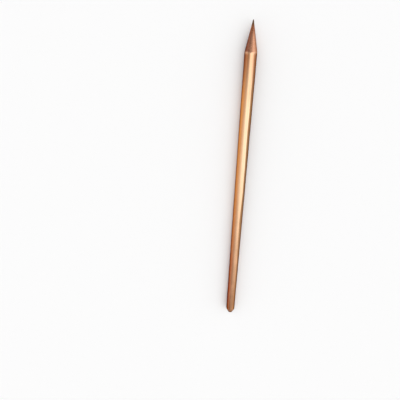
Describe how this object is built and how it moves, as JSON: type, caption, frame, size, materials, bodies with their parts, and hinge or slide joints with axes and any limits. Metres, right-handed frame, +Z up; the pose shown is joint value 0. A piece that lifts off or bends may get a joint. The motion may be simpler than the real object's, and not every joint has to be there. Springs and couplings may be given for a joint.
{
  "type": "earth rod",
  "caption": "Long round solid copper bar with a turned conical point and a tapered driving end, driven into the soil to earth a line or substation.",
  "frame": {"origin": "centre of the driving face, on the bar's axis", "axes": "+X along the bar from the driving face to the point; +Z up as the bar lies on the ground"},
  "size_m": [0.5, 0.016, 0.016],
  "materials": {
    "copper": "bright drawn"
  },
  "bodies": {
    "root": {"earth_rod": "copper"}
  },
  "joints": []
}
